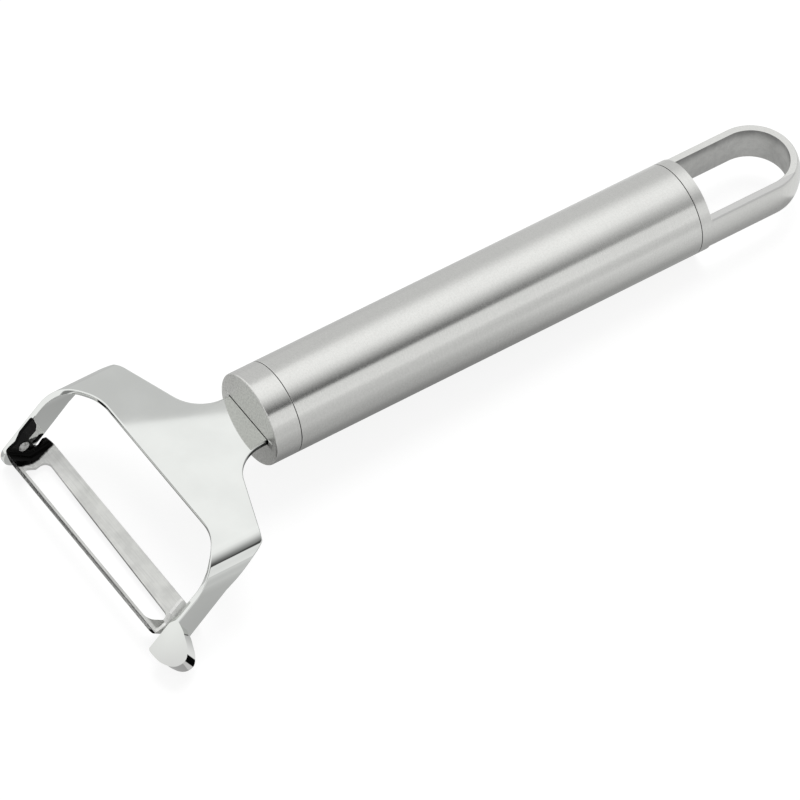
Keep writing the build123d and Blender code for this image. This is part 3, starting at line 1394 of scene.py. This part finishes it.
    @staticmethod
    def outward(line: list[Vector], number: int, side: int) -> Vector:
        """The direction out of the sheet at one point of its edge.

        Args:
            line: The edge's points as run and y.
            number: Which of them it is.
            side: -1 on the front edge, 1 on the rear one.

        Returns:
            A unit vector in run and y.
        """
        along = line[min(number + 1, len(line) - 1)] - line[max(number - 1, 0)]
        return Vector((-along.y, along.x)).normalized() * side

    def place(self, flat: Vector, height: float) -> Corner:
        """Fold a point of the flat sheet into place.

        Args:
            flat: Its run along the sheet and its y.
            height: Its height over the sheet's middle.

        Returns:
            The point.
        """
        run = abs(flat.x)
        x, z = self.fold(run)
        bend_x = self.half_width - self.bend_radius
        middle = self.bend_radius - self.thickness / 2
        turn = min(max((run - bend_x) / middle, 0.0), pi / 2)
        return copysign(x + height * sin(turn), flat.x), flat.y, z + height * cos(turn)

    def rim(self) -> list[Point]:
        """The edge's section.

        Returns:
            Its points as inset and height, from the upper side to the lower.
        """
        top = self.thickness / 2
        upper = arc((self.edge_round, top - self.edge_round), self.edge_round, 90, 180, self.edge_steps)
        return [(self.edge_round + self.support, top), *upper] + [
            (x, -z) for x, z in [*upper[::-1], (self.edge_round + self.support, top)]
        ]

    def build_sheet(self) -> None:
        """One sheet, bent down to an arm on each side, with its neck and round edges."""
        right = self.columns()
        both = [(-run, front, rear) for run, front, rear in right[:0:-1]] + right
        fronts = [Vector((run, front)) for run, front, _ in both]
        rears = [Vector((run, rear)) for run, _, rear in both]
        neck_y = max(rear.y for rear in rears if abs(rear.x) > self.neck_half)
        rim = self.rim()
        draft = Draft("bent_head_sheet")
        rings = []
        for number, (front, rear) in enumerate(zip(fronts, rears)):
            out_front = self.outward(fronts, number, -1)
            out_rear = self.outward(rears, number, 1)
            if abs(rear.x) == self.neck_half:
                out_rear = Vector((copysign(1, rear.x), 0))
            front_rim = [self.place(front - out_front * inset, height) for inset, height in rim]
            rear_rim = [self.place(rear - out_rear * inset, height) for inset, height in rim]
            near = front - out_front * rim[0][0]
            far = rear - out_rear * rim[0][0]
            if abs(rear.x) <= self.neck_half:
                far.y = neck_y
            between = [near.lerp(far, step / self.rows) for step in range(1, self.rows)]
            upper = [self.place(flat, self.thickness / 2) for flat in between]
            lower = [self.place(flat, -self.thickness / 2) for flat in between]
            rings.append(draft.ring([*upper, *rear_rim, *lower[::-1], *front_rim[::-1]]))
        for first, second in zip(rings, rings[1:]):
            draft.skin(second, first)
        draft.cover(rings[0][::-1])
        draft.cover(rings[-1])
        piece = draft.piece(self.sheet_sharp, weld=True)
        weigh_normals(piece)
        dress(piece, self.polished, Body.HANDLE, Slot.POLISHED, "head_frame")

    def build_lug(self) -> None:
        """The D-shaped eye remover on the right arm."""
        angle, front = radians(self.lug_angle), radians(self.front_angle)
        half = self.arm_width / 2
        edge_y = self.tip_y - half * (cos(front) + sin(front))
        edge_z = -self.tip_drop - half * (sin(front) - cos(front))
        back = self.lug_apex_setback + half
        apex = Vector((self.inner_x + self.lug_gap, edge_y + back * cos(front), edge_z + back * sin(front)))
        across, down = Vector((1, 0, 0)), Vector((0, -cos(angle), -sin(angle)))
        normal = across.cross(-down)
        shares = [(0.0, 0.0), *self.lug_outline_shares, self.lug_foot_shares]
        outline = smooth_run(
            [(x * self.lug_width, y * self.lug_length) for x, y in shares], self.lug_outline_steps
        )
        draft = Draft("eye_remover_lug")
        levels = []
        for step in range(self.lug_steps + 1):
            sunk = normal * (self.lug_thickness * step / self.lug_steps)
            levels.append(draft.ring([apex + across * x + down * y - sunk for x, y in outline]))
        for first, second in zip(levels, levels[1:]):
            draft.skin(first, second)
        draft.cover(levels[0])
        draft.cover(levels[-1])
        piece = draft.piece()
        soften(piece, self.lug_round, segments=4)
        dress(piece, self.lug_polish, Body.HANDLE, Slot.POLISHED, "eye_remover")

    def build_rivet(self, node: str, name: str, profile: tuple[Point, ...]) -> None:
        """A rivet on the pivot axis with a hammered head.

        Args:
            node: The CAD node that it stands for.
            name: The new piece's name.
            profile: Its section from the hammered head outwards, as x and radius.
        """
        y0, z0 = self.tip_y + self.pivot_setback, -self.tip_drop + self.pivot_rise
        spin = [2 * pi * step / self.rivet_facets for step in range(self.rivet_facets)]
        draft = Draft(name)
        rings = []
        for x, r in profile:
            near_head = min(max(1 - abs(x - profile[0][0]) / self.lump_reach, 0.0), 1.0)
            # Three broad lumps and seven small ones go round the head.
            swell = [1 + near_head * self.lump * (sin(3 * a + 1) + 0.5 * sin(7 * a)) for a in spin]
            reach = [(a, r * k) for a, k in zip(spin, swell)]
            rings.append(draft.ring([(x, y0 + far * cos(a), z0 + far * sin(a)) for a, far in reach]))
        for first, second in zip(rings, rings[1:]):
            draft.skin(first, second)
        draft.cover(rings[0][::-1])
        draft.cover(rings[-1])
        dress(draft.piece(self.rivet_sharp), self.peened, Body.HANDLE, Slot.POLISHED, node)

    def build(self) -> None:
        """Build and dress every piece of the head."""
        self.build_sheet()
        self.build_lug()
        self.build_rivet("pivot_rivet_left", "peened_rivet_left", self.left_rivet)
        self.build_rivet("pivot_rivet_right", "peened_rivet_right", self.right_rivet)


@dataclass
class Blade:
    """The swivelling blade."""

    steel: bpy.types.Material
    edge_round: float = 0.07

    def build(self) -> None:
        """Build and dress the blade."""
        blade = softened_copy("swivel_blade", "stamped_blade", self.edge_round)
        dress(blade, self.steel, Body.BLADE, Slot.BLADE, "swivel_blade")


@dataclass
class Studio:
    """Floor, light tent, lamps and camera."""

    floor_rise: float = 8.0
    floor_run: float = 137.5
    floor_front_y: float = -89.0
    floor_front_z: float = -17.5
    floor_half: float = 3000.0
    floor_colour: Corner = (0.22, 0.22, 0.22)
    floor_glow: float = 0.84
    air_light: float = 0.55
    lamp_energy: float = 1.6
    lamp_spread: float = 40.0
    lamp_from: Corner = (-0.35, 0.3, 1.0)
    tent_radius: float = 350.0
    tent_front_y: float = -500.0
    tent_rear_y: float = 600.0
    tent_front_tone: float = 0.95
    tent_rear_tone: float = 0.45
    camera_distance: float = 1650.0
    aim: Corner = (3.324, -19.327, -11.651)
    towards: Corner = (0.51983721, -0.380107426, 0.765040927)
    roll: float = 2.795
    lens: float = 390.33
    tent_stops: tuple[Point, ...] = (
        (-180.0, 0.80),
        (-60.0, 0.95),
        (-15.0, 1.0),
        (2.0, 0.95),
        (14.0, 0.74),
        (30.0, 0.32),
        (38.0, 0.09),
        (45.5, 0.05),
        (46.5, 0.84),
        (60.0, 0.80),
        (70.0, 0.83),
        (76.0, 0.85),
        (78.0, 0.66),
        (84.0, 0.66),
        (92.0, 0.58),
        (180.0, 0.50),
    )
    tent_fade_y: Point = (110.0, 260.0)
    tent_fade_level: float = 0.57
    flag_radius: float = 340.0
    flag_turn: float = -35.7
    flag_y: float = 65.6
    flag_skew: float = 0.0557
    fade_from_y: float = 89.0
    fade_stops: tuple[Point, ...] = ((-60.0, 0.63), (-48.0, 0.72), (-36.0, 0.89), (-22.0, 1.0))
    flag_front_y: float = -60.0
    flag_end_turn: float = -110.0
    flag_tone: float = 0.63
    tent_facets: int = 128
    end_facets: int = 64
    flag_steps: int = 24
    fade_steps: int = 16
    card_lift: float = 0.2
    card_reach: float = 100.0
    card_front_stops: tuple[Point, ...] = (
        (0.0, 0.23),
        (0.105, 0.25),
        (0.14, 0.32),
        (0.18, 0.40),
        (0.36, 0.50),
        (0.60, 0.60),
        (1.0, 0.58),
    )
    card_rear_stops: tuple[Point, ...] = (
        (0.0, 0.50),
        (0.06, 0.38),
        (0.11, 0.36),
        (0.14, 0.44),
        (0.175, 0.56),
        (0.22, 0.62),
        (0.30, 0.69),
        (0.49, 0.75),
        (1.0, 0.62),
    )
    card_turn_y: Point = (-10.0, 58.0)
    card_left_y: Point = (-45.0, -25.0)
    lug_patch: Patch = (35.6, 52.0, -87.5, -76.5, 0.80)
    cutting_edge_patch: Patch = (-30.0, 26.0, -110.0, -89.6, 0.72)
    plug_left_patch: Patch = (-34.0, -14.0, -66.0, -48.0, 0.95)
    plug_patch: Patch = (-14.0, 12.0, -64.0, -53.0, 0.52)
    plug_rim_patch: Patch = (12.5, 26.0, -78.0, -55.0, 0.06)
    loop_end_patch: Patch = (-20.0, 30.0, 73.0, 110.0, 0.78)

    @staticmethod
    def lit(name: str) -> tuple[bpy.types.Material, Bench]:
        """Start the material of a card that gives light.

        Args:
            name: The material's name.

        Returns:
            The material and its bench.
        """
        material = bpy.data.materials.new(name)
        material.use_nodes = True
        material.cycles.emission_sampling = "NONE"
        return material, Bench(material.node_tree)

    @staticmethod
    def shine(bench: Bench, colour: tuple[float, ...] | bpy.types.NodeSocket) -> None:
        """End a card's material with its light.

        Args:
            bench: The material's bench.
            colour: The light's colour, four numbers or a socket.
        """
        shader = bench.node("ShaderNodeEmission", {}, {"Color": colour, "Strength": 1.0})
        bench.node("ShaderNodeOutputMaterial", {}, {"Surface": shader.outputs[0]})

    def glow(self, name: str, tone: float) -> bpy.types.Material:
        """A card's even light, seen in reflections alone.

        Args:
            name: The material's name.
            tone: Its level.

        Returns:
            The material.
        """
        material, bench = self.lit(name)
        self.shine(bench, (tone, tone, tone, 1.0))
        return material

    def banded_glow(self, name: str, stops: tuple[Point, ...]) -> bpy.types.Material:
        """Light in bands about the handle's axis, the dark ones fading out to the rear.

        Args:
            name: The material's name.
            stops: Angles in degrees, each with its level.

        Returns:
            The material.
        """
        material, bench = self.lit(name)
        x, y, z = bench.axes()
        turn = x.angle_from(z) / (2 * pi) + 0.5
        bands = []
        for least in (0.0, self.tent_fade_level):
            places = tuple(((angle + 180) / 360, max(level, least)) for angle, level in stops)
            bands.append(bench.node("ShaderNodeValToRGB", {"stops": places}, {0: turn}).outputs["Color"])
        fade_from, fade_to = self.tent_fade_y
        self.shine(bench, bench.blend(y.eased(fade_from * MM, fade_to * MM), bands[0], bands[1]))
        return material

    @staticmethod
    def reflected_only(card: bpy.types.Object, material: bpy.types.Material) -> None:
        """Dress a card that only reflections show.

        Args:
            card: The card.
            material: Its light.
        """
        card.data.materials.append(material)
        card.visible_camera = False
        card.visible_diffuse = False
        card.visible_shadow = False
        card.visible_transmission = False
        card.visible_volume_scatter = False

    def build_tent(self) -> None:
        """A round tent about the handle's axis with closed ends."""
        draft = Draft("light_tent")
        profile = [(y, self.tent_radius) for y in (self.tent_front_y, self.tent_rear_y)]
        draft.turn(profile, self.tent_facets)
        # The last two faces are the flat ends, which are cards of their own.
        draft.faces = draft.faces[:-2]
        self.reflected_only(draft.piece(), self.banded_glow("tent_bands", self.tent_stops))
        ends = (
            ("tent_front", self.tent_front_y, self.tent_front_tone),
            ("tent_rear", self.tent_rear_y, self.tent_rear_tone),
        )
        for name, y, tone in ends:
            end = Draft(name)
            spin = [2 * pi * step / self.end_facets for step in range(self.end_facets)]
            end.cover(end.ring([(self.tent_radius * sin(a), y, self.tent_radius * cos(a)) for a in spin]))
            self.reflected_only(end.piece(), self.glow(name, tone))

    def build_flag(self) -> None:
        """The grey flag on the left of the tent: its upper edge runs askew in front and fades behind."""
        draft = Draft("left_flag")
        rings = []
        for step in range(self.flag_steps + 1):
            share = (step / self.flag_steps) ** 2
            y = self.flag_front_y + (self.tent_rear_y - self.flag_front_y) * share
            top = self.flag_turn + (y - self.flag_y) * self.flag_skew
            if y > self.fade_from_y:
                top = self.fade_stops[0][0]
            rings.append(self.arched(draft, sweep(top, self.flag_end_turn, self.flag_steps), y))
        for first, second in zip(rings, rings[1:]):
            draft.skin(first, second, closed=False)
        self.reflected_only(draft.piece(), self.glow("left_flag", self.flag_tone))
        fade = Draft("flag_fade")
        turns = sweep(self.fade_stops[0][0], self.fade_stops[-1][0], self.fade_steps)
        front, rear = (self.arched(fade, turns, y) for y in (self.fade_from_y, self.tent_rear_y))
        fade.skin(front, rear, closed=False)
        self.reflected_only(fade.piece(), self.banded_glow("flag_fade", self.fade_stops))

    def arched(self, draft: Draft, turns: list[float], y: float) -> list[int]:
        """Add a row of the flag's points at one y; turns are angles about the handle's axis."""
        return draft.ring([(self.flag_radius * sin(a), y, self.flag_radius * cos(a)) for a in turns])

    def floor_sheet(self, name: str, reach: float, lift: float) -> bpy.types.Object:
        """A square in the floor's plane.

        Args:
            name: Its name.
            reach: Half its side.
            lift: How far it lies over the floor.

        Returns:
            The square.
        """
        draft = Draft(name)
        slope = self.floor_rise / self.floor_run
        corners = ((-reach, -reach), (reach, -reach), (reach, reach), (-reach, reach))
        heights = [self.floor_front_z + (y - self.floor_front_y) * slope + lift for _, y in corners]
        draft.cover(draft.ring([(x, y, z) for (x, y), z in zip(corners, heights)]))
        return draft.piece()

    def build_floor(self) -> None:
        """The pale floor and the grey card that the metal sees on it."""
        floor = self.floor_sheet("floor", self.floor_half, 0.0)
        floor.data.materials.append(self.floor_finish())
        card = self.floor_sheet("floor_card", self.tent_radius, self.card_lift)
        self.reflected_only(card, self.card_finish())

    def card_finish(self) -> bpy.types.Material:
        """Painted shade beside the handle's axis, where the tool shades the floor, lighter away from it,
        with even patches in front and behind.

        Returns:
            The material.
        """
        material, bench = self.lit("floor_card")
        x, y, _ = bench.axes()
        left_from, left_to = self.card_left_y
        leftward = (0.0 - x) * (1.0 + y.eased(left_from * MM, left_to * MM))
        reach = x.over(leftward) / (self.card_reach * MM)
        before = bench.node("ShaderNodeValToRGB", {"stops": self.card_front_stops}, {0: reach})
        behind = bench.node("ShaderNodeValToRGB", {"stops": self.card_rear_stops}, {0: reach})
        turn_from, turn_to = self.card_turn_y
        turned = y.eased(turn_from * MM, turn_to * MM)
        level = bench.blend(turned, before.outputs["Color"], behind.outputs["Color"])
        patches = (
            self.lug_patch,
            self.cutting_edge_patch,
            self.plug_left_patch,
            self.plug_patch,
            self.plug_rim_patch,
            self.loop_end_patch,
        )
        for left, right, front, rear, tone in patches:
            across = (x > left * MM) * (right * MM > x)
            within = across * (y > front * MM) * (rear * MM > y)
            level = bench.blend(within, level, (tone, tone, tone))
        self.shine(bench, level)
        return material

    @staticmethod
    def seen(bench: Bench) -> Wire:
        """Tell what is looked at from what only gives light.

        Args:
            bench: The bench to wire it on.

        Returns:
            One for the camera, reflections and clear material, nought for diffuse light.
        """
        path = bench.node("ShaderNodeLightPath")
        rays = ("Is Camera Ray", "Is Glossy Ray", "Is Transmission Ray")
        camera, glossy, through = (bench.wire(path.outputs[ray]) for ray in rays)
        return camera.over(glossy).over(through)

    def floor_finish(self) -> bpy.types.Material:
        """Matt white that glows a little to the camera and still takes a shadow.

        Returns:
            The material.
        """
        material = bpy.data.materials.new("matt_white_floor")
        material.use_nodes = True
        bench = Bench(material.node_tree)
        seen = self.seen(bench)
        matt = bench.node("ShaderNodeBsdfDiffuse", {}, {"Color": (*self.floor_colour, 1.0)})
        lift = bench.node("ShaderNodeEmission", {}, {"Color": WHITE, "Strength": self.floor_glow})
        lifted = bench.node("ShaderNodeAddShader", {}, {0: matt.outputs[0], 1: lift.outputs[0]})
        mix = bench.node("ShaderNodeMixShader", {}, {0: seen, 1: matt.outputs[0], 2: lifted.outputs[0]})
        bench.node("ShaderNodeOutputMaterial", {}, {"Surface": mix.outputs[0]})
        return material

    def build_world(self) -> None:
        """White to the camera and to reflections, softer as light."""
        world = bpy.data.worlds.new("studio_air")
        bpy.context.scene.world = world
        world.use_nodes = True
        bench = Bench(world.node_tree)
        seen = self.seen(bench)
        soft = bench.node("ShaderNodeBackground", {}, {"Color": WHITE, "Strength": self.air_light})
        white = bench.node("ShaderNodeBackground", {}, {"Color": WHITE, "Strength": 1.0})
        mix = bench.node("ShaderNodeMixShader", {}, {0: seen, 1: soft.outputs[0], 2: white.outputs[0]})
        bench.node("ShaderNodeOutputWorld", {}, {"Surface": mix.outputs[0]})

    def build_lamp(self) -> None:
        """One broad lamp from the upper left."""
        light = bpy.data.lights.new("broad_lamp", "SUN")
        light.energy = self.lamp_energy
        light.angle = radians(self.lamp_spread)
        lamp = bpy.data.objects.new("broad_lamp", light)
        lamp.rotation_mode = "QUATERNION"
        lamp.rotation_quaternion = Vector(self.lamp_from).to_track_quat("Z", "Y")
        lamp.visible_glossy = False
        bpy.context.scene.collection.objects.link(lamp)

    def build_camera(self) -> None:
        """A long lens from the right, in front and above."""
        camera = bpy.data.cameras.new("camera")
        camera.lens = self.lens
        camera.sensor_width = 36.0
        camera.clip_start = 0.05
        camera.clip_end = 20.0
        towards = Vector(self.towards).normalized()
        holder = bpy.data.objects.new("camera", camera)
        holder.location = (Vector(self.aim) + towards * self.camera_distance) * MM
        holder.rotation_mode = "QUATERNION"
        level = towards.to_track_quat("Z", "Y")
        holder.rotation_quaternion = level @ Quaternion((0, 0, 1), radians(self.roll))
        bpy.context.scene.collection.objects.link(holder)
        bpy.context.scene.camera = holder
        bpy.context.scene.view_settings.view_transform = "Standard"

    def build(self) -> None:
        """Set up the whole studio."""
        self.build_camera()
        self.build_floor()
        self.build_tent()
        self.build_flag()
        self.build_world()
        self.build_lamp()


def main() -> None:
    """Build the peeler and its studio."""
    logging.basicConfig(level=logging.INFO, format="%(message)s")
    for name in START_UP:
        if name in bpy.data.objects:
            bpy.data.objects.remove(bpy.data.objects[name])
    satin = SatinSteel().material()
    polished = PolishedSteel().material()
    Studio().build()
    Handle(satin).build()
    Head(polished, LugSteel().material(), PeenedSteel().material()).build()
    Blade(BladeSteel().material()).build()


if __name__ == "__main__":
    main()
